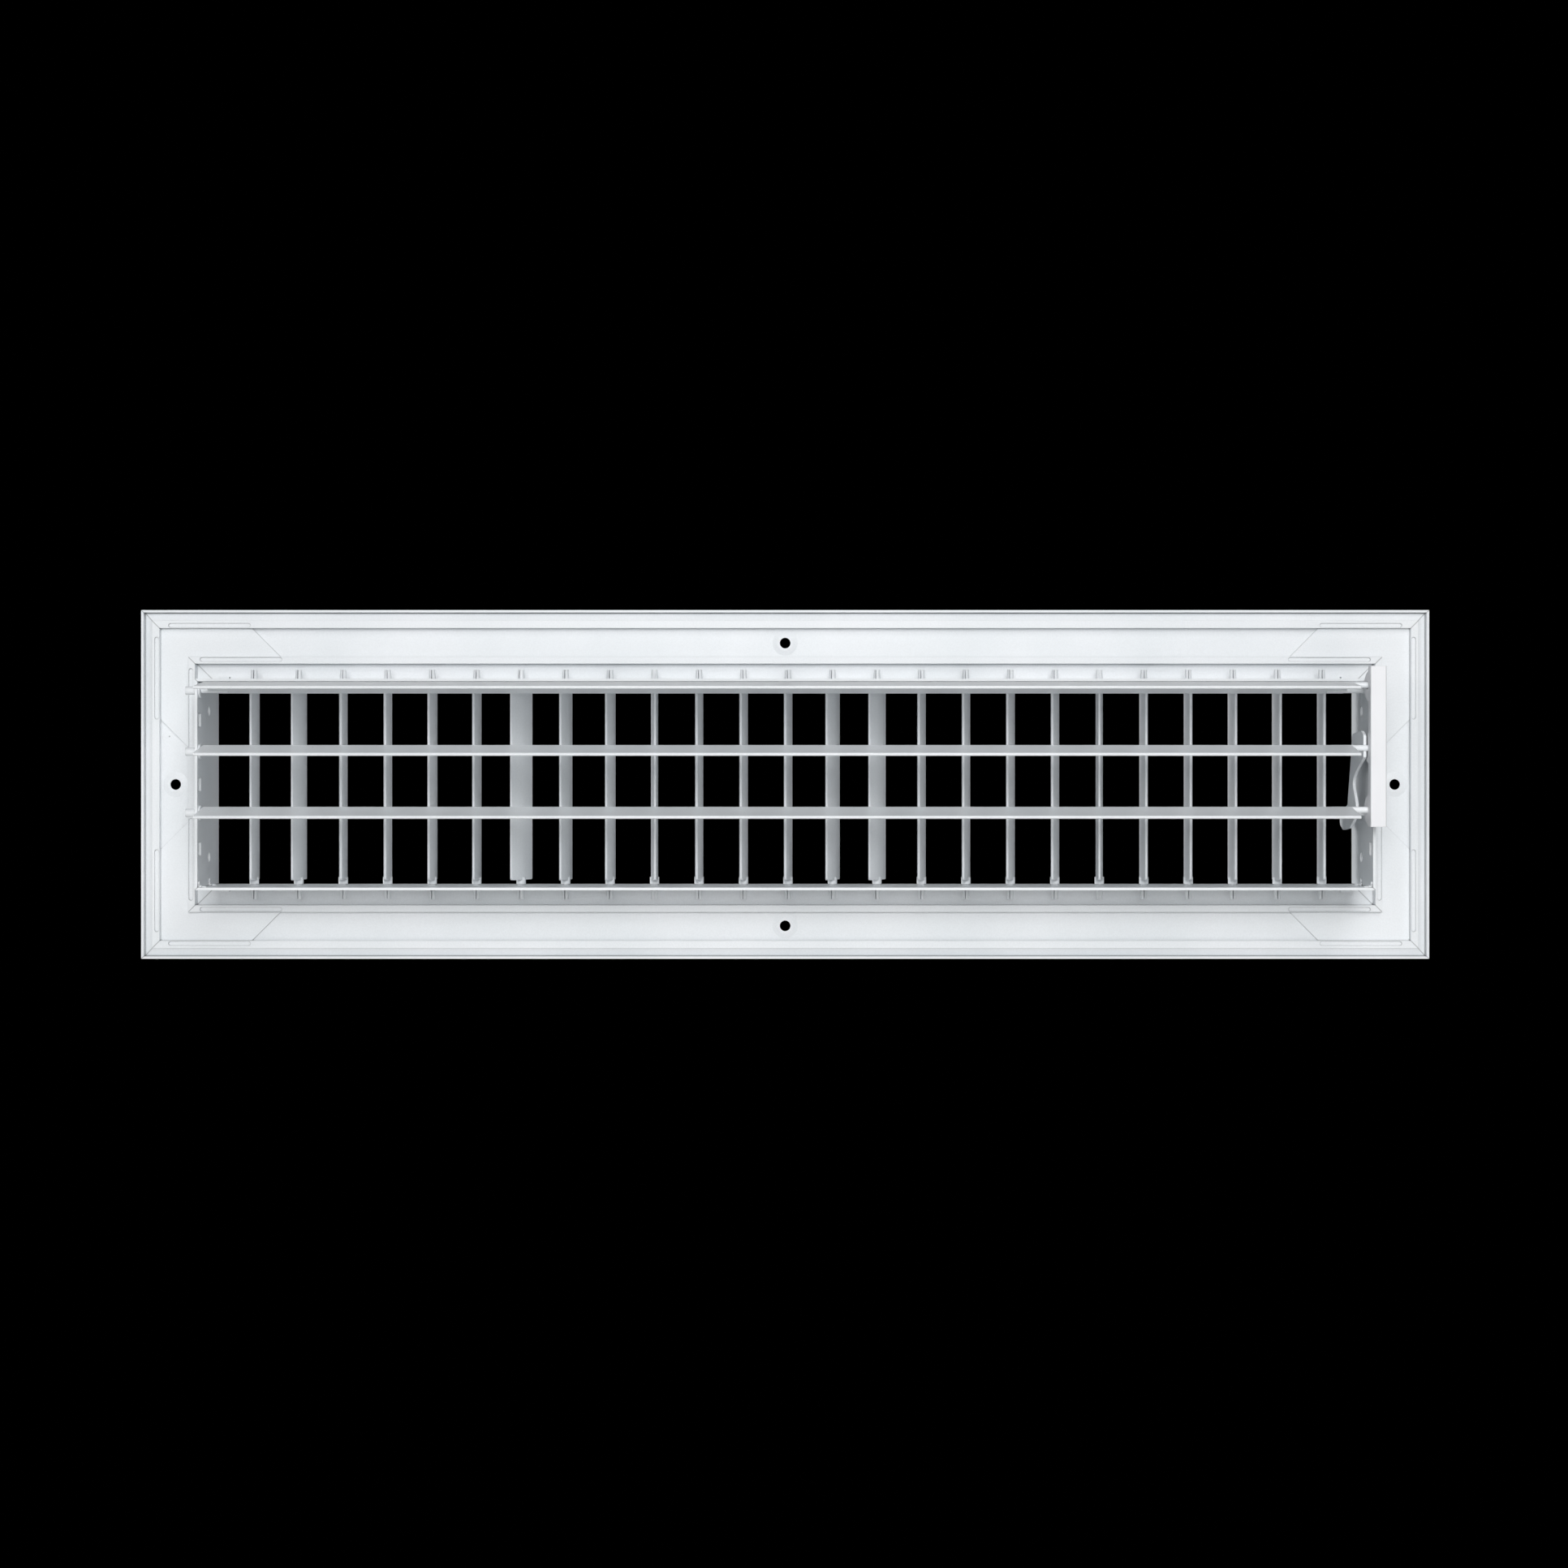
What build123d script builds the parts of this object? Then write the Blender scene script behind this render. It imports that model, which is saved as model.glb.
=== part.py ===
from build123d import *
import os

# Supply register for a 20 x 4 inch duct, seen from its duct side along +Y.
# X runs along the register, Z is up, +Y points into the room.
# The origin is the middle of the opening, in the plane of the wall.

# Frame
FACE_W = 554.0
FACE_H = 150.0
BORDER = 32.0
FACE_DEPTH = 6.5
FACE_ROUND = 0.8
FACE_FLAT = 9.6
NECK_DEPTH = 31.5
WALL = 1.1
RIM = 1.0
EDGE_DEPTH = 3.2
CHANNEL_FLOOR = 2.6
LIP_START = 4.5
LIP_END = 7.7
LIP_REAR = 0.6
LIP_SLOPE = 0.3
PANEL_REAR = 3.7
RIB_START = 20.1
RIB_END = 23.0
LEDGE_REAR = 4.7
GROOVE = 1.5
KEY_PLATE = 0.7
KEY_LEG = 47.0
KEY_SLACK = 0.1
STAKE_DEPTH = 0.5
STAKE_INSET = 11.5
STAKE_W = 1.9
STAKE_EDGE = 0.2

# Fixing screws
SCREW_INSET = 14.0
SCREW_R = 2.3
SINK_R = 4.4
SINK_SIDE = 0.4
SINK_FLOOR = 0.2
DIMPLE_R = 5.4
DIMPLE_TOP_R = 3.2
DIMPLE_RISE = 0.5

# Face blades
BLADE_PITCH = 19.05
BLADE_SHIFT = 1.2
BLADE_CHORD = 17.0
BLADE_THICK = 3.0
BLADE_WIDEST = 1.0
BLADE_REAR_R = 0.55
BLADE_FRONT_R = 0.8
BLADE_SETBACK = 10.5
BLADE_END_GAP = 14.0
BLADE_TIP_GAP = 2.2
BLADE_CORNER = 1.6
HUB_R = 2.0
HUB_RISE = 3.0
HUB_GAP = 0.4
PIN_R = 1.55
PIN_TIP_R = 1.3
PIN_REACH = 5.0
PIN_SLIT = 0.5
RUNNING = 0.06
# Degrees that each blade stands turned, from left to right
BLADE_TURN = [
    2, -8.5, 3.5, 2, -2, -2, -25, -10.5, -7.5, 4.5, -5, -7, -8,
    -19, -25, -11, -12, -14, -14, -7, -1, -2, -1, -1.5, -4.5,
]
BLADES_PER_WASHER_COUNT = 4
WASHER_R = 6.0
WASHER_THICK = 0.4
WASHER_BOW = 0.7

# Damper
DAMPER_COUNT = 3
DAMPER_TOP_GAP = 3.7
DAMPER_BOTTOM_GAP = 2.6
DAMPER_OVERLAP = 2.9
DAMPER_INSET = 4.0
DAMPER_SHEET = 0.9
DAMPER_RIDGE_RISE = 2.3
DAMPER_FRONT = 2.2
DAMPER_FRONT_DROP = 0.6
DAMPER_RIDGE_ROUND = 4.0
DAMPER_BEAD_R = 0.68
DAMPER_TRAVEL = 76.0
DAMPER_TOP_PLAY = 3.5
DAMPER_LEFT_GAP = 4.0
DAMPER_RIGHT_GAP = 10.5
DAMPER_CORNER = 3.0
CRANK_BACK = 9.5
CRANK_UP = 1.4
CRANK_R = 1.3
PIVOT_R = 1.1
PIN_ROOT = 8.0
BUSH_R = 1.8
BUSH_FLANGE_R = 3.2
BUSH_FLANGE = 0.8
BUSH_OUT_LEFT = 4.6
BUSH_OUT_RIGHT = 1.2

# Gang bar and lever
BAR_WALL = 1.1
BAR_INSIDE_GAP = 2.6
BAR_OUTSIDE_GAP = 0.7
BAR_LOBE_R = 5.6
BAR_LOBE_ROOT = 13.0
BAR_STRIP = 4.1
BAR_ABOVE = 8.2
BAR_BELOW = 7.0
BAR_OUTER_LEAF = 5.5
BAR_ROUND = 0.6
LEVER_SHEET = 1.2
LEVER_GAP = 0.6
LEVER_ROUND = 1.6
FIT = 0.02

# Neck wall holes
SLOT_H = 5.6
SLOT_D = 4.0
SLOT_INSET = 2.0
SLOT_RISE = 27.0
HOLE_R = 2.1
HOLE_RISE = 31.0
HOLE_DEPTH = 20.0
CLIP_INSET = 7.2
CLIP_BACK = 10.0
CLIP_W = 4.5
CLIP_H = 1.5
CLIP_D = 3.0

# Sizes that follow
OPEN_W = FACE_W - 2 * BORDER
OPEN_H = FACE_H - 2 * BORDER
NECK_REAR = -NECK_DEPTH
BLADE_Y = FACE_DEPTH - BLADE_SETBACK
HALF_COUNT = int((OPEN_W / 2 - BLADE_END_GAP) / BLADE_PITCH)
BLADE_COUNT = 2 * HALF_COUNT + 1
BLADE_X = [BLADE_SHIFT + (i - HALF_COUNT) * BLADE_PITCH for i in range(BLADE_COUNT)]
BLADE_HALF = OPEN_H / 2 - BLADE_TIP_GAP
PIN_END = OPEN_H / 2 + WALL + PIN_REACH
DAMPER_PITCH = (OPEN_H - DAMPER_TOP_GAP - DAMPER_BOTTOM_GAP - DAMPER_OVERLAP) / DAMPER_COUNT
DAMPER_REACH = DAMPER_PITCH + DAMPER_OVERLAP
DAMPER_Y = NECK_REAR + DAMPER_INSET
DAMPER_Z = [OPEN_H / 2 - DAMPER_TOP_GAP - i * DAMPER_PITCH for i in range(DAMPER_COUNT)]
MIDDLE = DAMPER_COUNT // 2
BAR_X = OPEN_W / 2 - BAR_INSIDE_GAP - BAR_WALL
LEVER_X = BAR_X - LEVER_GAP - LEVER_SHEET

os.makedirs("parts", exist_ok=True)


def save(piece, name):
    """Label a finished piece and write it."""
    piece.label = name
    export_step(piece, f"parts/{name}.step")


def rail_profile(outer):
    """Extruded section, from the outer rim in to the neck; outer is the rim's height."""
    points = [
        (0, 0), (0, EDGE_DEPTH), (RIM, EDGE_DEPTH + RIM), (BORDER - FACE_FLAT, FACE_DEPTH),
        (BORDER, FACE_DEPTH), (BORDER, NECK_REAR), (BORDER - WALL, NECK_REAR),
        (BORDER - WALL, LEDGE_REAR), (RIB_END, LEDGE_REAR), (RIB_END, LIP_REAR),
        (RIB_START, LIP_REAR), (RIB_START, PANEL_REAR - KEY_PLATE - 2 * KEY_SLACK),
        (RIB_START + GROOVE, PANEL_REAR - KEY_PLATE - 2 * KEY_SLACK),
        (RIB_START + GROOVE, PANEL_REAR), (LIP_END - GROOVE, PANEL_REAR),
        (LIP_END - GROOVE, PANEL_REAR - KEY_PLATE - 2 * KEY_SLACK),
        (LIP_END, PANEL_REAR - KEY_PLATE - 2 * KEY_SLACK), (LIP_END, LIP_REAR),
        (LIP_START, LIP_REAR), (LIP_START, LIP_REAR + LIP_SLOPE), (RIM, CHANNEL_FLOOR), (RIM, 0),
    ]
    return [(y, outer - inward) for inward, y in points]


def stake_marks(half_run, outer):
    """Places of the shallow marks pressed into both lips over each corner key."""
    marks = []
    for inward in (LIP_END - STAKE_W / 2 - STAKE_EDGE, RIB_START + STAKE_W / 2 + STAKE_EDGE):
        shift = max(0.0, inward - LIP_END)
        middle = half_run - (STAKE_INSET + KEY_LEG + 2 * shift) / 2
        marks += [(side * middle, outer - inward) for side in (-1, 1)]
    return marks


def make_rail(half_run, outer):
    """One mitred rail of the frame, lying above the opening."""
    with BuildPart() as rail:
        with BuildSketch(Plane.YZ) as section:
            with BuildLine():
                Polyline(*rail_profile(outer), close=True)
            make_face()
            fillet(section.vertices().group_by(Axis.X)[-1], FACE_ROUND)
        extrude(amount=half_run, both=True)
        for side in (-1, 1):
            mitre = Plane(origin=(side * half_run, 0, outer), z_dir=(side, 0, -1))
            split(bisect_by=mitre, keep=Keep.BOTTOM)
        with BuildSketch(Plane.XZ.offset(-LIP_REAR)):
            with Locations(*stake_marks(half_run, outer)):
                SlotOverall(KEY_LEG - STAKE_INSET, STAKE_W)
        extrude(amount=-STAKE_DEPTH, mode=Mode.SUBTRACT)
        screw_place = Location((0, PANEL_REAR - DIMPLE_RISE / 2, outer - SCREW_INSET), (90, 0, 0))
        with Locations(screw_place):
            Cone(DIMPLE_R, DIMPLE_TOP_R, DIMPLE_RISE)
        with Locations(Location((0, 0, outer - SCREW_INSET), (90, 0, 0))):
            Cylinder(SCREW_R, 4 * FACE_DEPTH, mode=Mode.SUBTRACT)
        sink_start = PANEL_REAR + SINK_FLOOR
        sink_depth = FACE_DEPTH - sink_start
        sink_place = Location((0, sink_start + sink_depth / 2, outer - SCREW_INSET), (90, 0, 0))
        with Locations(sink_place):
            Cone(SINK_R + SINK_SIDE, SCREW_R, sink_depth, mode=Mode.SUBTRACT)
    return rail.part


def make_long_rail(side):
    """Top or bottom rail, lying above the opening, pierced for the blade pins."""
    wall_middle = OPEN_H / 2 + WALL / 2
    with BuildPart() as rail:
        add(make_rail(FACE_W / 2, FACE_H / 2))
        with Locations(*[(side * x, BLADE_Y, wall_middle) for x in BLADE_X]):
            Cylinder(PIN_R + RUNNING, 2 * WALL, mode=Mode.SUBTRACT)
        clip_x = OPEN_W / 2 - CLIP_INSET
        clip_z = OPEN_H / 2 + WALL + CLIP_H / 2
        with Locations(*[(x, BLADE_Y - CLIP_BACK, clip_z) for x in (-clip_x, clip_x)]):
            Box(CLIP_W, CLIP_D, CLIP_H)
    return rail.part


def make_end_rail(side):
    """Left or right rail, lying above the opening, pierced for the damper pins."""
    wall_middle = OPEN_W / 2 + WALL / 2
    with BuildPart() as rail:
        add(make_rail(FACE_H / 2, FACE_W / 2))
        with Locations(*[(-side * z, DAMPER_Y, wall_middle) for z in DAMPER_Z]):
            Cylinder(BUSH_R + FIT, 2 * WALL, mode=Mode.SUBTRACT)
        slot_y = NECK_REAR + SLOT_INSET + SLOT_D / 2
        with Locations(*[(x, slot_y, wall_middle) for x in (-SLOT_RISE, 0, SLOT_RISE)]):
            Box(SLOT_H, SLOT_D, 2 * WALL, mode=Mode.SUBTRACT)
        hole_y = NECK_REAR + HOLE_DEPTH
        with Locations(*[(x, hole_y, wall_middle) for x in (-HOLE_RISE, HOLE_RISE)]):
            Cylinder(HOLE_R, 2 * WALL, mode=Mode.SUBTRACT)
    return rail.part


def turned_rail(rail, angle):
    """A rail swung about the middle of the opening to its own side."""
    with BuildPart() as placed:
        add(rail, rotation=(0, angle, 0))
    return placed.part


def key_outline():
    """Corner key seen from the duct side, with its corner at the frame's outer corner."""
    near = LIP_END - GROOVE + KEY_SLACK
    far = RIB_START + GROOVE - KEY_SLACK
    reach_near = KEY_LEG - (LIP_END - near)
    reach_far = KEY_LEG + (far - LIP_END)
    return [
        (near, -near), (reach_near, -near), (reach_far, -far), (far, -far),
        (far, -reach_far), (near, -reach_near),
    ]


def make_key(side, top):
    """Corner key for one corner; side and top are -1 or 1."""
    with BuildPart() as key:
        with BuildSketch(Plane.XZ.offset(-(PANEL_REAR - KEY_SLACK))):
            with BuildLine():
                outline = [
                    (side * (FACE_W / 2 - a), top * (FACE_H / 2 + b)) for a, b in key_outline()
                ]
                Polyline(*outline, close=True)
            make_face()
        extrude(amount=KEY_PLATE)
    return key.part


def make_washer():
    """Bowed washer on the Z axis, resting on its outer edge at z = 0."""
    bore = PIN_R + RUNNING
    with BuildPart() as washer:
        with BuildSketch(Plane.XZ):
            with BuildLine():
                Polyline(
                    (bore, WASHER_BOW), (WASHER_R, 0), (WASHER_R, WASHER_THICK),
                    (bore, WASHER_BOW + WASHER_THICK), close=True,
                )
            make_face()
        revolve(axis=Axis.Z)
    return washer.part


def make_washers():
    """Bowed retaining washers on every fourth pair of pins, outside the neck."""
    seat = OPEN_H / 2 + WALL
    washer = make_washer()
    with BuildPart() as washers:
        for x in BLADE_X[::BLADES_PER_WASHER_COUNT]:
            with Locations(Location((x, BLADE_Y, seat), (0, 0, 0))):
                add(washer)
            with Locations(Location((x, BLADE_Y, -seat), (180, 0, 0))):
                add(washer)
    return washers.part


def make_blade():
    """Face blade standing on the Z axis, its thin edge towards the duct."""
    half = BLADE_CHORD / 2
    wide = BLADE_THICK / 2
    rear = BLADE_REAR_R
    front = BLADE_FRONT_R
    with BuildPart() as blade:
        with BuildSketch():
            with BuildLine():
                ThreePointArc((rear, rear - half), (wide, BLADE_WIDEST), (front, half - front))
                ThreePointArc((front, half - front), (0, half), (-front, half - front))
                ThreePointArc((-front, half - front), (-wide, BLADE_WIDEST), (-rear, rear - half))
                ThreePointArc((-rear, rear - half), (0, -half), (rear, rear - half))
            make_face()
        extrude(amount=BLADE_HALF, both=True)
        with BuildSketch(Plane.YZ):
            RectangleRounded(BLADE_CHORD + FIT, 2 * BLADE_HALF, BLADE_CORNER)
        extrude(amount=BLADE_THICK, both=True, mode=Mode.INTERSECT)
        hub_end = OPEN_H / 2 - HUB_GAP
        for side in (-1, 1):
            with BuildSketch(Plane.XZ):
                with BuildLine():
                    Polyline(
                        (0, side * (hub_end - HUB_RISE)), (HUB_R, side * (hub_end - HUB_RISE)),
                        (HUB_R, side * hub_end), (PIN_R, side * hub_end),
                        (PIN_TIP_R, side * PIN_END), (0, side * PIN_END), close=True,
                    )
                make_face()
            revolve(axis=Axis.Z)
            with Locations((0, 0, side * (PIN_END - PIN_REACH / 2))):
                Box(PIN_SLIT, 4 * PIN_R, PIN_REACH, mode=Mode.SUBTRACT)
    return blade.part


def damper_section():
    """Middle line of the sheet from front edge over the ridge to the rear edge."""
    return [
        (DAMPER_FRONT, -DAMPER_FRONT_DROP), (-CRANK_BACK, DAMPER_RIDGE_RISE),
        (DAMPER_SHEET - DAMPER_REACH, -CRANK_UP),
    ]


def make_damper_blade():
    """Damper blade in its open place, with its pivot on the X axis."""
    left = -(OPEN_W / 2 - DAMPER_LEFT_GAP)
    right = OPEN_W / 2 - DAMPER_RIGHT_GAP
    middle = (left + right) / 2
    front, ridge, rear = damper_section()
    with BuildPart() as blade:
        with BuildSketch(Plane.YZ.offset(left)):
            with BuildLine():
                line = FilletPolyline(front, ridge, rear, radius=DAMPER_RIDGE_ROUND)
            trace(line, line_width=DAMPER_SHEET)
            with Locations(rear):
                Circle(DAMPER_BEAD_R)
        extrude(amount=right - left)
        depth = DAMPER_REACH + 2 * DAMPER_FRONT
        with BuildSketch():
            with Locations((middle, DAMPER_FRONT + DAMPER_SHEET - depth / 2)):
                RectangleRounded(right - left, depth, DAMPER_CORNER)
        extrude(amount=4 * DAMPER_RIDGE_RISE, both=True, mode=Mode.INTERSECT)
        pin_spans = [
            (left - DAMPER_LEFT_GAP - WALL - BUSH_OUT_LEFT, left + PIN_ROOT, 0, 0, PIVOT_R),
            (right - PIN_ROOT, OPEN_W / 2 + WALL + BUSH_OUT_RIGHT, 0, 0, PIVOT_R),
            (right - PIN_ROOT, BAR_X + BAR_WALL + LEVER_GAP, -CRANK_BACK, CRANK_UP, CRANK_R),
        ]
        for start, end, y, z, radius in pin_spans:
            with BuildSketch(Plane.YZ.offset(start)):
                with Locations((y, z)):
                    Circle(radius)
            extrude(amount=end - start)
    return blade.part


def make_bush(out):
    """Nylon bush on the X axis; x = 0 is the inside of the neck wall, +X is outward."""
    with BuildPart() as bush:
        with BuildSketch(Plane.YZ.offset(-BUSH_FLANGE)):
            Circle(BUSH_FLANGE_R)
        extrude(amount=BUSH_FLANGE)
        with BuildSketch(Plane.YZ):
            Circle(BUSH_R)
        extrude(amount=WALL + out)
        with BuildSketch(Plane.YZ.offset(-2 * BUSH_FLANGE)):
            Circle(PIVOT_R + RUNNING)
        extrude(amount=4 * (WALL + out), mode=Mode.SUBTRACT)
    return bush.part


def make_bushes(side, out):
    """The bushes of one neck wall, one for each damper blade."""
    turn = 0 if side > 0 else 180
    bush = make_bush(out)
    with BuildPart() as bushes:
        for z in DAMPER_Z:
            with Locations(Location((side * OPEN_W / 2, DAMPER_Y, z), (0, 0, turn))):
                add(bush)
    return bushes.part


def top_crank_hole():
    """Centre and radius of the bar's top hole, whose pin runs ahead by the play."""
    crank = Vector(0, -CRANK_BACK, CRANK_UP)
    ahead = crank.rotate(Axis.X, -DAMPER_TOP_PLAY) - crank
    ends = [ahead.rotate(Axis.X, turn) for turn in (0, DAMPER_TRAVEL)]
    centre = Vector(0, DAMPER_Y, DAMPER_Z[0]) + crank + (ends[0] + ends[1]) * 0.5
    slack = (ends[0] - ends[1]).length / 2
    return centre, CRANK_R + RUNNING + slack


def make_gang_bar():
    """Channel over the neck's edge that joins the crank pins of the damper blades."""
    crank_y = DAMPER_Y - CRANK_BACK
    cranks = [z + CRANK_UP for z in DAMPER_Z]
    rear = crank_y - BAR_LOBE_R
    top = cranks[0] + BAR_ABOVE
    bottom = cranks[-1] - BAR_BELOW
    middle = (top + bottom) / 2
    width = 2 * BAR_WALL + BAR_INSIDE_GAP + WALL + BAR_OUTSIDE_GAP
    with BuildPart() as bar:
        with BuildSketch(Plane.YZ.offset(BAR_X)):
            with Locations((rear + BAR_STRIP / 2, middle)):
                Rectangle(BAR_STRIP, top - bottom)
        extrude(amount=BAR_WALL)
        for z in cranks:
            with BuildSketch(Plane.YZ.offset(BAR_X)):
                with Locations((rear + BAR_STRIP / 2, z)):
                    Rectangle(BAR_STRIP, BAR_LOBE_ROOT)
                with Locations((crank_y, z)):
                    Circle(BAR_LOBE_R)
                make_hull()
            extrude(amount=BAR_WALL)
        with Locations((BAR_X + width / 2, rear + BAR_WALL / 2, middle)):
            Box(width, BAR_WALL, top - bottom)
        outer_x = BAR_X + width - BAR_WALL / 2
        with Locations((outer_x, rear + BAR_OUTER_LEAF / 2, middle)):
            Box(BAR_WALL, BAR_OUTER_LEAF, top - bottom)
        edges = bar.edges().filter_by(Axis.Z).group_by(Axis.Y)[0]
        fillet(edges, BAR_ROUND)
        top_centre, top_radius = top_crank_hole()
        with BuildSketch(Plane.YZ.offset(BAR_X - BAR_WALL)):
            with Locations(*[(crank_y, z) for z in cranks[1:]]):
                Circle(CRANK_R + RUNNING)
            with Locations((top_centre.Y, top_centre.Z)):
                Circle(top_radius)
        extrude(amount=3 * BAR_WALL, mode=Mode.SUBTRACT)
    return bar.part


def lever_outline():
    """Lever seen along X about its pivot: head, straight front, foot and curved back."""
    head = (-10.0, -2.4)
    heel = (7.2, -29.0)
    with BuildLine() as outline:
        FilletPolyline(
            head, (-10.0, 6.6), (-6.3, 8.6), (-3.5, 8.6), (9.2, 7.6), (10.6, 4.0), (11.5, -1.3),
            (17.8, -22.4), (32.0, -26.6), (31.2, -31.0), (26.0, -33.2), (14.0, -32.2), heel,
            radius=LEVER_ROUND,
        )
        Spline(heel, (3.6, -20.6), (8.2, -12.9), (3.2, -8.3), head)
    return outline.line


def make_lever():
    """Stamped lever on the middle damper blade's pivot, its rear notch on the crank pin."""
    outline = lever_outline()
    with BuildPart() as lever:
        with BuildSketch(Plane.YZ.offset(LEVER_X)):
            with Locations((DAMPER_Y, DAMPER_Z[MIDDLE])):
                add(make_face(outline.edges(), mode=Mode.PRIVATE))
                Circle(PIVOT_R + FIT, mode=Mode.SUBTRACT)
            with Locations((DAMPER_Y - CRANK_BACK, DAMPER_Z[MIDDLE] + CRANK_UP)):
                Circle(CRANK_R + FIT, mode=Mode.SUBTRACT)
        extrude(amount=LEVER_SHEET)
    return lever.part


save(turned_rail(make_long_rail(1), 0), "frame_rail_top")
save(turned_rail(make_long_rail(-1), 180), "frame_rail_bottom")
save(turned_rail(make_end_rail(1), 90), "frame_rail_right")
save(turned_rail(make_end_rail(-1), -90), "frame_rail_left")

for top, row in ((1, "top"), (-1, "bottom")):
    for side, column in ((-1, "left"), (1, "right")):
        save(make_key(side, top), f"corner_key_{row}_{column}")

save(make_washers(), "retaining_washers")

blade = make_blade()
for number, x in enumerate(BLADE_X, start=1):
    angle = BLADE_TURN[(number - 1) % len(BLADE_TURN)]
    with BuildPart() as placed:
        with Locations(Location((x, BLADE_Y, 0), (0, 0, angle))):
            add(blade)
    save(placed.part, f"face_blade_{number:02d}")

damper_blade = make_damper_blade()
for number, z in enumerate(DAMPER_Z, start=1):
    play = -DAMPER_TOP_PLAY if number == 1 else 0
    with BuildPart() as placed:
        with Locations(Location((0, DAMPER_Y, z), (play, 0, 0))):
            add(damper_blade)
    save(placed.part, f"damper_blade_{number}")

save(make_bushes(-1, BUSH_OUT_LEFT), "pivot_bushes_left")
save(make_bushes(1, BUSH_OUT_RIGHT), "pivot_bushes_right")
save(make_gang_bar(), "gang_bar")
save(make_lever(), "damper_lever")
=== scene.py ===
import math

import bpy
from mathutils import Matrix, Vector


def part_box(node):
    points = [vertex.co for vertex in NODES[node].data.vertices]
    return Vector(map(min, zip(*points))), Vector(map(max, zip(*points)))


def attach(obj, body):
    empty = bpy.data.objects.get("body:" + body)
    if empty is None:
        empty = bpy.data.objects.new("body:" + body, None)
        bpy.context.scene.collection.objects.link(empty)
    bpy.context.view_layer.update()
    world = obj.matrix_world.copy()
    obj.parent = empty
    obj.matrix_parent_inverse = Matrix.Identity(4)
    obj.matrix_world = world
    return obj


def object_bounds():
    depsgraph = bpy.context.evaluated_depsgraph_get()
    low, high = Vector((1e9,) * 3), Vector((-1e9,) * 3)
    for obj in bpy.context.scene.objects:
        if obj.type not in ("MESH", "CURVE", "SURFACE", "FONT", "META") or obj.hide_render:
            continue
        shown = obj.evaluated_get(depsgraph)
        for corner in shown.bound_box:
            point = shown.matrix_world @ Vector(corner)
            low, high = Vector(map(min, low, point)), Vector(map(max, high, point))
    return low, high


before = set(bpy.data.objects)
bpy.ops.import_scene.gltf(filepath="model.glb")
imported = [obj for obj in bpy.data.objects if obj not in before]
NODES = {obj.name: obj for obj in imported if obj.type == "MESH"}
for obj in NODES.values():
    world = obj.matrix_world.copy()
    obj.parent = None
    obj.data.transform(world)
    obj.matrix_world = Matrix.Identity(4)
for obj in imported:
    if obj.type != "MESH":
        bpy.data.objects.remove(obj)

bl_info = {
    "name": "Supply Register Looks",
    "version": (1, 0, 0),
    "blender": (4, 5, 0),
    "location": "3D View > Sidebar > Register",
    "description": "Finishes and stage for a white supply register seen from its duct side",
    "category": "Object",
}

CAD_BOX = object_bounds()
MM = 0.001

# Powder coat: widths of its clouds and grains, and depth of its orange peel
CLOUD_WIDTH = 60 * MM
GRAIN_WIDTH = 0.7 * MM
PEEL_DEPTH = 0.06 * MM
# Pinholes: spacing, radii of the dark core and of the rim, and the share of places that have one
PINHOLE_CELL = 14 * MM
PINHOLE_CORE = 0.252 * MM
PINHOLE_RIM = 0.42 * MM
PINHOLE_SHARE = 0.16
# Painted shade in inner corners: how near a wall counts, and the openness where the painted shade
# is darkest and where it ends
NOOK_REACH = 1.0 * MM
NOOK_SHADE_DARKEST = 0.4
NOOK_SHADE_END = 0.72
# Hairline at the mitres: where it is darkest and where it ends, either side of its middle
SEAM_CORE = 0.1 * MM
SEAM_END = 0.45 * MM

# Moulded nylon
MOULD_DEPTH = 0.05 * MM
MOULD_EDGE = 0.4 * MM
NYLON_IOR = 1.53

# Lumps of paint at the rear edge and by the round hole: how far inward, forward and up from the
# corner of the neck, then the three radii, all in bead sizes, and the seed of its unevenness
LUMPS = (
    ((0.5, 0.8, 0.3), (0.7, 0.7, 0.6), 3),
    ((1.7, 1.0, 0.1), (0.9, 0.6, 0.4), 5),
    ((0.1, 1.2, 1.1), (0.4, 0.6, 0.8), 7),
    ((0.3, 14.0, 0.3), (0.7, 1.4, 0.8), 11),
    ((1.4, 14.6, 0.1), (0.9, 1.2, 0.4), 13),
    ((0.1, 14.4, 1.3), (0.3, 0.8, 1.0), 17),
)
LUMP_UNEVENNESS = 0.35

# Lamps: name, place, width and power. The room light stands far to the side, so that the damper
# doesn't mirror it
LAMPS = (
    ("key light", (0.0, -1.9, 0.45), 0.8, 20.0),
    ("high light", (0.4, -1.5, 1.25), 1.0, 10.5),
    ("left light", (-1.3, -1.4, 0.15), 1.0, 3.0),
    ("low light", (0.2, -1.7, -0.6), 0.8, 4.5),
    ("room light", (-1.8, 1.0, 0.3), 1.0, 24.0),
)
FLOOR_WIDTH = 4
FLOOR_BACK = 0.6
FLOOR_COLOUR = "#DCDCDA"
SENSOR_WIDTH_MM = 36.0
CAMERA_SIDE = -0.5 * MM
CAMERA_RISE = 0.2 * MM


def linear(hex_colour):
    """An sRGB hex colour as linear RGBA."""
    values = [int(hex_colour[i:i + 2], 16) / 255 for i in (1, 3, 5)]
    bent = [v / 12.92 if v <= 0.04045 else ((v + 0.055) / 1.055) ** 2.4 for v in values]
    return (*bent, 1.0)


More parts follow.
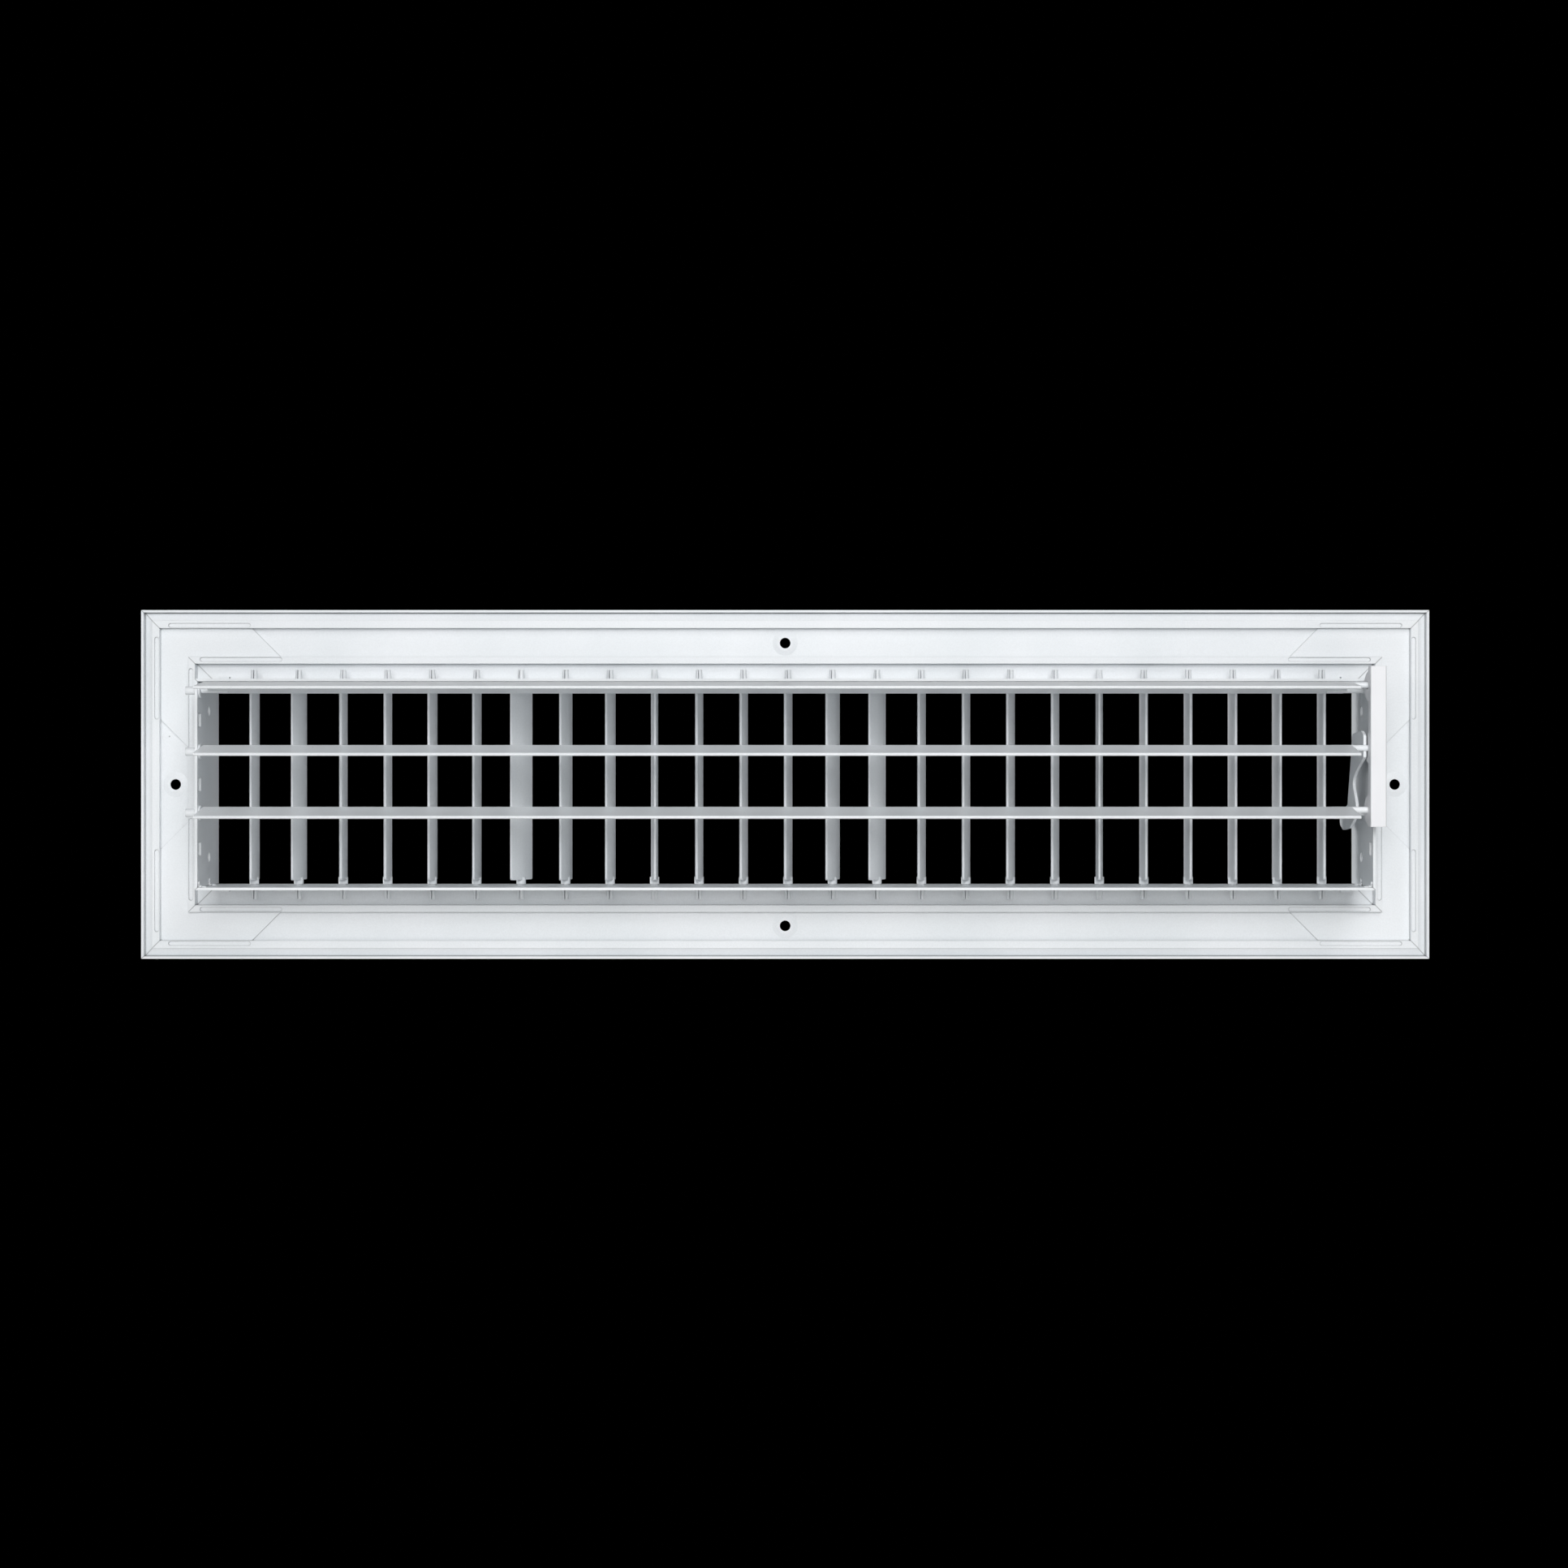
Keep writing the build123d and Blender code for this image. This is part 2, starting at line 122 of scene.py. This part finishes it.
def node(tree, kind, settings=None, inputs=None, links=None):
    """Adds a shader node, sets its properties and sockets, and links sockets to outputs."""
    made = tree.nodes.new(kind)
    for name, value in (settings or {}).items():
        setattr(made, name, value)
    for name, value in (inputs or {}).items():
        made.inputs[name].default_value = value
    for name, output in (links or {}).items():
        tree.links.new(output, made.inputs[name])
    return made


def blank_material(name):
    """A new material with no nodes."""
    material = bpy.data.materials.new(name)
    material.use_nodes = True
    material.node_tree.nodes.clear()
    return material


def dress(start, material):
    """Gives one finish to the CAD nodes whose names start the same way."""
    for name in NODES:
        if name.startswith(start):
            slots = NODES[name].data.materials
            slots.clear()
            slots.append(material)


def pinholes(tree, place):
    """Dark specks where gas left the melt, drawn about 0.7 mm wide so that they show."""
    cell = node(tree, "ShaderNodeTexVoronoi", inputs={"Scale": 1 / PINHOLE_CELL},
                links={"Vector": place})
    hole = node(tree, "ShaderNodeMapRange",
                inputs={"From Min": PINHOLE_CORE / PINHOLE_CELL,
                        "From Max": PINHOLE_RIM / PINHOLE_CELL, "To Min": 0.5, "To Max": 1.0},
                links={"Value": cell.outputs["Distance"]})
    chance = node(tree, "ShaderNodeSeparateColor", links={"Color": cell.outputs["Color"]})
    unbroken = node(tree, "ShaderNodeMath", {"operation": "GREATER_THAN"}, {1: PINHOLE_SHARE},
                    {0: chance.outputs["Red"]})
    tone = node(tree, "ShaderNodeMath", {"operation": "MAXIMUM"},
                links={0: hole.outputs["Result"], 1: unbroken.outputs[0]})
    return tone.outputs[0]


def painted_nook_shade(tree, nook_shade):
    """Painted shade along inner corners: the coat is darkened where ambient occlusion finds a wall
    near.
    """
    nook = node(tree, "ShaderNodeAmbientOcclusion", {"samples": 8}, {"Distance": NOOK_REACH})
    tone = node(tree, "ShaderNodeMapRange",
                inputs={"From Min": NOOK_SHADE_DARKEST, "From Max": NOOK_SHADE_END,
                        "To Min": nook_shade, "To Max": 1.0},
                links={"Value": nook.outputs["AO"]})
    return tone.outputs["Result"]


def mitre_seam(tree, place):
    """The hairline where two rails meet, on the planes |X| - |Z| = a constant.

    It is drawn about 0.4 mm wide, because the real line is too fine to show.
    """
    face_x, _, face_z = CAD_BOX[1]
    parts = node(tree, "ShaderNodeSeparateXYZ", links={"Vector": place})
    across = node(tree, "ShaderNodeMath", {"operation": "ABSOLUTE"}, links={0: parts.outputs["X"]})
    up = node(tree, "ShaderNodeMath", {"operation": "ABSOLUTE"}, links={0: parts.outputs["Z"]})
    lead = node(tree, "ShaderNodeMath", {"operation": "SUBTRACT"},
                links={0: across.outputs[0], 1: up.outputs[0]})
    off = node(tree, "ShaderNodeMath", {"operation": "SUBTRACT"}, {1: face_x - face_z},
               {0: lead.outputs[0]})
    distance = node(tree, "ShaderNodeMath", {"operation": "ABSOLUTE"}, links={0: off.outputs[0]})
    line = node(tree, "ShaderNodeMapRange",
                inputs={"From Min": SEAM_CORE, "From Max": SEAM_END, "To Min": 0.6, "To Max": 1.0},
                links={"Value": distance.outputs[0]})
    return line.outputs["Result"]


def powder_coat(name, colour, shade, peel_mm, gloss, edge_mm, nook_shade=0.45, mitred=False):
    """Baked polyester powder on metal.

    It is sprayed dry and melts into a satin skin, so it has an orange peel, pulls round over
    each edge, lies a little thinner in broad clouds, and keeps a few pinholes. Its inner corners
    are darkened with painted shade.
    """
    material = blank_material(name)
    tree = material.node_tree
    place = node(tree, "ShaderNodeTexCoord").outputs["Object"]
    # Clouds of thinner powder
    cloud = node(tree, "ShaderNodeTexNoise", inputs={"Scale": 1 / CLOUD_WIDTH, "Detail": 3.0},
                 links={"Vector": place})
    thin = node(tree, "ShaderNodeMapRange", inputs={"From Min": 0.38, "From Max": 0.62},
                links={"Value": cloud.outputs["Fac"]})
    tint = node(tree, "ShaderNodeMixRGB",
                inputs={"Color1": linear(shade), "Color2": linear(colour)},
                links={"Fac": thin.outputs["Result"]})
    # Grains of powder, drawn at 0.7 mm because the real 0.05 mm ones can't show
    grain = node(tree, "ShaderNodeTexNoise", inputs={"Scale": 1 / GRAIN_WIDTH, "Detail": 1.0},
                 links={"Vector": place})
    speckle = node(tree, "ShaderNodeMapRange",
                   inputs={"From Min": 0.3, "From Max": 0.7, "To Min": 0.96, "To Max": 1.0},
                   links={"Value": grain.outputs["Fac"]})
    # Specks, pinholes, painted shade in inner corners and, on mitred rails, the hairline are
    # multiplied together
    dusted = node(tree, "ShaderNodeMath", {"operation": "MULTIPLY"},
                  links={0: speckle.outputs["Result"], 1: pinholes(tree, place)})
    # Painted shade: ambient occlusion darkens the coat in inner corners
    marked_and_shaded = node(tree, "ShaderNodeMath", {"operation": "MULTIPLY"},
                   links={0: dusted.outputs[0], 1: painted_nook_shade(tree, nook_shade)})
    if mitred:
        marked_and_shaded = node(tree, "ShaderNodeMath", {"operation": "MULTIPLY"},
                       links={0: marked_and_shaded.outputs[0], 1: mitre_seam(tree, place)})
    skin = node(tree, "ShaderNodeMixRGB", {"blend_type": "MULTIPLY"}, {"Fac": 1.0},
                {"Color1": tint.outputs["Color"], "Color2": marked_and_shaded.outputs[0]})
    # Orange peel, over edges that the melted powder has rounded
    peel = node(tree, "ShaderNodeTexNoise", inputs={"Scale": 1 / (peel_mm * MM), "Detail": 2.0},
                links={"Vector": place})
    edge = node(tree, "ShaderNodeBevel", {"samples": 4}, {"Radius": edge_mm * MM})
    bump = node(tree, "ShaderNodeBump", inputs={"Strength": 0.2, "Distance": PEEL_DEPTH},
                links={"Height": peel.outputs["Fac"], "Normal": edge.outputs["Normal"]})
    satin = node(tree, "ShaderNodeMapRange",
                 inputs={"To Min": gloss - 0.05, "To Max": gloss + 0.07},
                 links={"Value": grain.outputs["Fac"]})
    coat = node(tree, "ShaderNodeBsdfPrincipled",
                links={"Base Color": skin.outputs["Color"], "Roughness": satin.outputs["Result"],
                       "Normal": bump.outputs["Normal"]})
    node(tree, "ShaderNodeOutputMaterial", links={"Surface": coat.outputs["BSDF"]})
    return material


def moulded_plastic(name, colour, shade, flow_mm, gloss):
    """Injection-moulded nylon: dense white, faint flow marks and a waxy sheen."""
    material = blank_material(name)
    tree = material.node_tree
    place = node(tree, "ShaderNodeTexCoord").outputs["Object"]
    # Flow marks run up the part, so the pattern is drawn out along Z
    drawn = node(tree, "ShaderNodeMapping", inputs={"Scale": (1.0, 1.0, 0.25)},
                 links={"Vector": place})
    flow = node(tree, "ShaderNodeTexNoise", inputs={"Scale": 1 / (flow_mm * MM), "Detail": 2.0},
                links={"Vector": drawn.outputs["Vector"]})
    tint = node(tree, "ShaderNodeMixRGB",
                inputs={"Color1": linear(shade), "Color2": linear(colour)},
                links={"Fac": flow.outputs["Fac"]})
    edge = node(tree, "ShaderNodeBevel", {"samples": 4}, {"Radius": MOULD_EDGE})
    bump = node(tree, "ShaderNodeBump", inputs={"Strength": 0.1, "Distance": MOULD_DEPTH},
                links={"Height": flow.outputs["Fac"], "Normal": edge.outputs["Normal"]})
    waxy = node(tree, "ShaderNodeMapRange",
                inputs={"To Min": gloss - 0.06, "To Max": gloss + 0.06},
                links={"Value": flow.outputs["Fac"]})
    plastic = node(tree, "ShaderNodeBsdfPrincipled", inputs={"IOR": NYLON_IOR},
                   links={"Base Color": tint.outputs["Color"], "Roughness": waxy.outputs["Result"],
                          "Normal": bump.outputs["Normal"]})
    node(tree, "ShaderNodeOutputMaterial", links={"Surface": plastic.outputs["BSDF"]})
    return material


class FinishSettings(bpy.types.PropertyGroup):
    """Colours of the register's finishes and the size of its paint beads."""
    coat: bpy.props.StringProperty(name="Powder coat", default="#EFF2F5",
                                   description="Colour of the white powder coat")
    coat_shade: bpy.props.StringProperty(name="Coat shade", default="#E9EDF0",
                                         description="Colour of the coat where it is thin")
    # The washers' grey is partly their own tone and partly painted shade, for the shadow under the
    # bowed washers
    washer: bpy.props.StringProperty(name="Washer coat and painted shade", default="#C2C8CD",
                                     description="Colour of the thin coat on the washers")
    washer_shade: bpy.props.StringProperty(name="Washer shade", default="#AAB1B7",
                                           description="Colour where the washers' coat is thin")
    plastic: bpy.props.StringProperty(name="Plastic", default="#F0F1F4",
                                      description="Colour of the moulded gang bar")
    plastic_shade: bpy.props.StringProperty(name="Plastic shade", default="#EBECEF",
                                            description="Colour of the gang bar's flow marks")
    nylon: bpy.props.StringProperty(name="Nylon", default="#E8EBEE",
                                    description="Colour of the bushes")
    nylon_shade: bpy.props.StringProperty(name="Nylon shade", default="#DDE1E4",
                                          description="Colour of the bushes' flow marks")
    bead: bpy.props.FloatProperty(name="Paint bead", default=1.4 * MM, subtype="DISTANCE",
                                  description="Radius of the paint beads in the neck's corners")


class StageSettings(bpy.types.PropertyGroup):
    """Camera, floor and the strength of the soft surroundings."""
    distance: bpy.props.FloatProperty(name="Camera distance", default=1.0135, subtype="DISTANCE",
                                      description="From the wall plane back to the camera")
    view_width: bpy.props.FloatProperty(name="View width", default=0.6744, subtype="DISTANCE",
                                        description="Width of the wall plane in the picture")
    floor_drop: bpy.props.FloatProperty(name="Floor drop", default=0.9, subtype="DISTANCE",
                                        description="Height of the middle over the floor")
    soft: bpy.props.FloatProperty(name="Soft light", default=0.03, min=0.0,
                                  description="Strength of the white surroundings")


class REGISTER_OT_frame(bpy.types.Operator):
    """Powder coat on the frame's rails and corner keys"""
    bl_idname = "register.frame"
    bl_label = "Coat frame"

    def execute(self, context):
        finish = context.scene.register_finish
        dress("frame_rail", powder_coat(
            "extruded frame powder coat", finish.coat, finish.coat_shade,
            peel_mm=0.9, gloss=0.42, edge_mm=0.2, mitred=True))
        dress("corner_key", powder_coat(
            "cast corner key powder coat", finish.coat, finish.coat_shade,
            peel_mm=0.9, gloss=0.42, edge_mm=0.1))
        return {"FINISHED"}


class REGISTER_OT_face_blades(bpy.types.Operator):
    """Powder coat on the face blades"""
    bl_idname = "register.face_blades"
    bl_label = "Coat face blades"

    def execute(self, context):
        finish = context.scene.register_finish
        dress("face_blade", powder_coat(
            "extruded blade powder coat", finish.coat, finish.coat_shade,
            peel_mm=0.8, gloss=0.36, edge_mm=0.3, nook_shade=0.9))
        return {"FINISHED"}


class REGISTER_OT_washers(bpy.types.Operator):
    """Grey coat on the face blades' washers, partly their own grey and partly painted shade for
    the shadow under them
    """
    bl_idname = "register.washers"
    bl_label = "Coat washers"

    def execute(self, context):
        finish = context.scene.register_finish
        # The grey washer coat is partly painted shade for the shadow under the bowed washers
        dress("retaining_washers", powder_coat(
            "spring washer coat with painted shade", finish.washer, finish.washer_shade,
            peel_mm=0.7, gloss=0.34, edge_mm=0.12))
        return {"FINISHED"}


class REGISTER_OT_damper(bpy.types.Operator):
    """Powder coat on the damper's blades and lever, and plastic on its gang bar and bushes"""
    bl_idname = "register.damper"
    bl_label = "Finish damper"

    def execute(self, context):
        finish = context.scene.register_finish
        dress("damper_blade", powder_coat(
            "rolled damper powder coat", finish.coat, finish.coat_shade,
            peel_mm=0.8, gloss=0.3, edge_mm=0.25, nook_shade=0.85))
        dress("damper_lever", powder_coat(
            "stamped lever powder coat", finish.coat, finish.coat_shade,
            peel_mm=0.7, gloss=0.3, edge_mm=0.3))
        dress("gang_bar", moulded_plastic(
            "moulded polyamide", finish.plastic, finish.plastic_shade, flow_mm=6.0, gloss=0.42))
        dress("pivot_bushes", moulded_plastic(
            "moulded nylon bush", finish.nylon, finish.nylon_shade, flow_mm=2.0, gloss=0.5))
        return {"FINISHED"}


class REGISTER_OT_paint_beads(bpy.types.Operator):
    """Beads where the powder gathered in the lower corners of the neck"""
    bl_idname = "register.paint_beads"
    bl_label = "Add paint beads"

    def execute(self, context):
        size = context.scene.register_finish.bead
        neck_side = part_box("frame_rail_right")[0][0]
        neck_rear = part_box("frame_rail_right")[0][1]
        neck_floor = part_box("frame_rail_bottom")[1][2]
        beads = []
        for side in (-1, 1):
            corner = Vector((side * neck_side, neck_rear, neck_floor))
            for (inward, forward, up), radii, seed in LUMPS:
                middle = corner + size * Vector((-side * inward, forward, up))
                beads.append(make_bead(middle, [size * radius for radius in radii], seed))
        for bead in beads:
            bead.select_set(True)
        bpy.context.view_layer.objects.active = beads[0]
        bpy.ops.object.join()
        piece = bpy.context.object
        piece.name = "paint_beads"
        piece.data.materials.clear()
        piece.data.materials.append(NODES["frame_rail_bottom"].data.materials[0])
        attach(piece, "frame")
        return {"FINISHED"}


class REGISTER_OT_stage(bpy.types.Operator):
    """Floor, soft lights, dark backdrop and the camera"""
    bl_idname = "register.stage"
    bl_label = "Set stage"

    def execute(self, context):
        stage = context.scene.register_stage
        make_floor(stage.floor_drop)
        for lamp in LAMPS:
            make_lamp(*lamp)
        make_world(stage.soft)
        make_camera(stage.distance, stage.view_width)
        context.scene.view_settings.view_transform = "Standard"
        return {"FINISHED"}


def make_bead(middle, radii, seed):
    """A lump of baked powder: a ball drawn out to three radii, pulled uneven and smoothed."""
    bpy.ops.object.select_all(action="DESELECT")
    bpy.ops.mesh.primitive_ico_sphere_add(subdivisions=3, radius=1.0, location=middle)
    bead = bpy.context.object
    bead.scale = radii
    bpy.ops.object.transform_apply(location=True, rotation=True, scale=True)
    bpy.ops.object.mode_set(mode="EDIT")
    bpy.ops.mesh.select_all(action="SELECT")
    bpy.ops.transform.vertex_random(offset=LUMP_UNEVENNESS * min(radii), seed=seed)
    bpy.ops.mesh.vertices_smooth(factor=0.5, repeat=1)
    bpy.ops.object.mode_set(mode="OBJECT")
    bpy.ops.object.shade_smooth()
    bpy.ops.object.select_all(action="DESELECT")
    return bead


def make_floor(drop):
    """Plain pale floor, well below the picture."""
    bpy.ops.object.select_all(action="DESELECT")
    bpy.ops.mesh.primitive_plane_add(size=FLOOR_WIDTH, location=(0, -FLOOR_BACK, -drop))
    floor = bpy.context.object
    floor.name = "floor"
    material = blank_material("pale floor paint")
    tree = material.node_tree
    paint = node(tree, "ShaderNodeBsdfPrincipled",
                 inputs={"Base Color": linear(FLOOR_COLOUR), "Roughness": 0.8})
    node(tree, "ShaderNodeOutputMaterial", links={"Surface": paint.outputs["BSDF"]})
    floor.data.materials.append(material)


def make_lamp(name, place, width, power):
    """A square area lamp that looks at the register."""
    lamp = bpy.data.lights.new(name, "AREA")
    lamp.size = width
    lamp.energy = power
    holder = bpy.data.objects.new(name, lamp)
    holder.location = place
    holder.rotation_euler = (-Vector(place)).to_track_quat("-Z", "Y").to_euler()
    bpy.context.scene.collection.objects.link(holder)


def make_world(soft_strength):
    """Soft white surroundings that camera, mirror and see-through rays see as black."""
    world = bpy.data.worlds.new("dark studio")
    bpy.context.scene.world = world
    world.use_nodes = True
    tree = world.node_tree
    tree.nodes.clear()
    rays = node(tree, "ShaderNodeLightPath")
    direct = node(tree, "ShaderNodeMath", {"operation": "MAXIMUM"},
                  links={0: rays.outputs["Is Camera Ray"], 1: rays.outputs["Is Glossy Ray"]})
    through = node(tree, "ShaderNodeMath", {"operation": "MAXIMUM"},
                   links={0: direct.outputs[0], 1: rays.outputs["Is Transmission Ray"]})
    soft = node(tree, "ShaderNodeBackground",
                inputs={"Color": linear("#FFFFFF"), "Strength": soft_strength})
    dark = node(tree, "ShaderNodeBackground", inputs={"Color": linear("#000000"), "Strength": 1.0})
    both = node(tree, "ShaderNodeMixShader",
                links={0: through.outputs[0], 1: soft.outputs[0], 2: dark.outputs[0]})
    node(tree, "ShaderNodeOutputWorld", links={"Surface": both.outputs[0]})


def make_camera(distance, view_width):
    """Camera straight behind the register, level with its middle."""
    camera = bpy.data.cameras.new("camera")
    camera.sensor_width = SENSOR_WIDTH_MM
    camera.lens = SENSOR_WIDTH_MM * distance / view_width
    holder = bpy.data.objects.new("camera", camera)
    holder.location = (CAMERA_SIDE, -distance, CAMERA_RISE)
    holder.rotation_euler = (math.radians(90), 0, 0)
    bpy.context.scene.collection.objects.link(holder)
    bpy.context.scene.camera = holder


class REGISTER_PT_panel(bpy.types.Panel):
    """Lists the steps that finish and stage the register"""
    bl_label = "Supply register"
    bl_space_type = "VIEW_3D"
    bl_region_type = "UI"
    bl_category = "Register"

    def draw(self, context):
        for operator in OPERATORS:
            self.layout.operator(operator.bl_idname)


OPERATORS = (REGISTER_OT_frame, REGISTER_OT_face_blades, REGISTER_OT_washers, REGISTER_OT_damper,
             REGISTER_OT_paint_beads, REGISTER_OT_stage)
CLASSES = (FinishSettings, StageSettings, *OPERATORS, REGISTER_PT_panel)


def register():
    for cls in CLASSES:
        bpy.utils.register_class(cls)
    bpy.types.Scene.register_finish = bpy.props.PointerProperty(type=FinishSettings)
    bpy.types.Scene.register_stage = bpy.props.PointerProperty(type=StageSettings)


def unregister():
    del bpy.types.Scene.register_finish
    del bpy.types.Scene.register_stage
    for cls in reversed(CLASSES):
        bpy.utils.unregister_class(cls)


def main():
    register()
    bpy.ops.register.frame()
    bpy.ops.register.face_blades()
    bpy.ops.register.washers()
    bpy.ops.register.damper()
    bpy.ops.register.paint_beads()
    bpy.ops.register.stage()


if __name__ == "__main__":
    main()
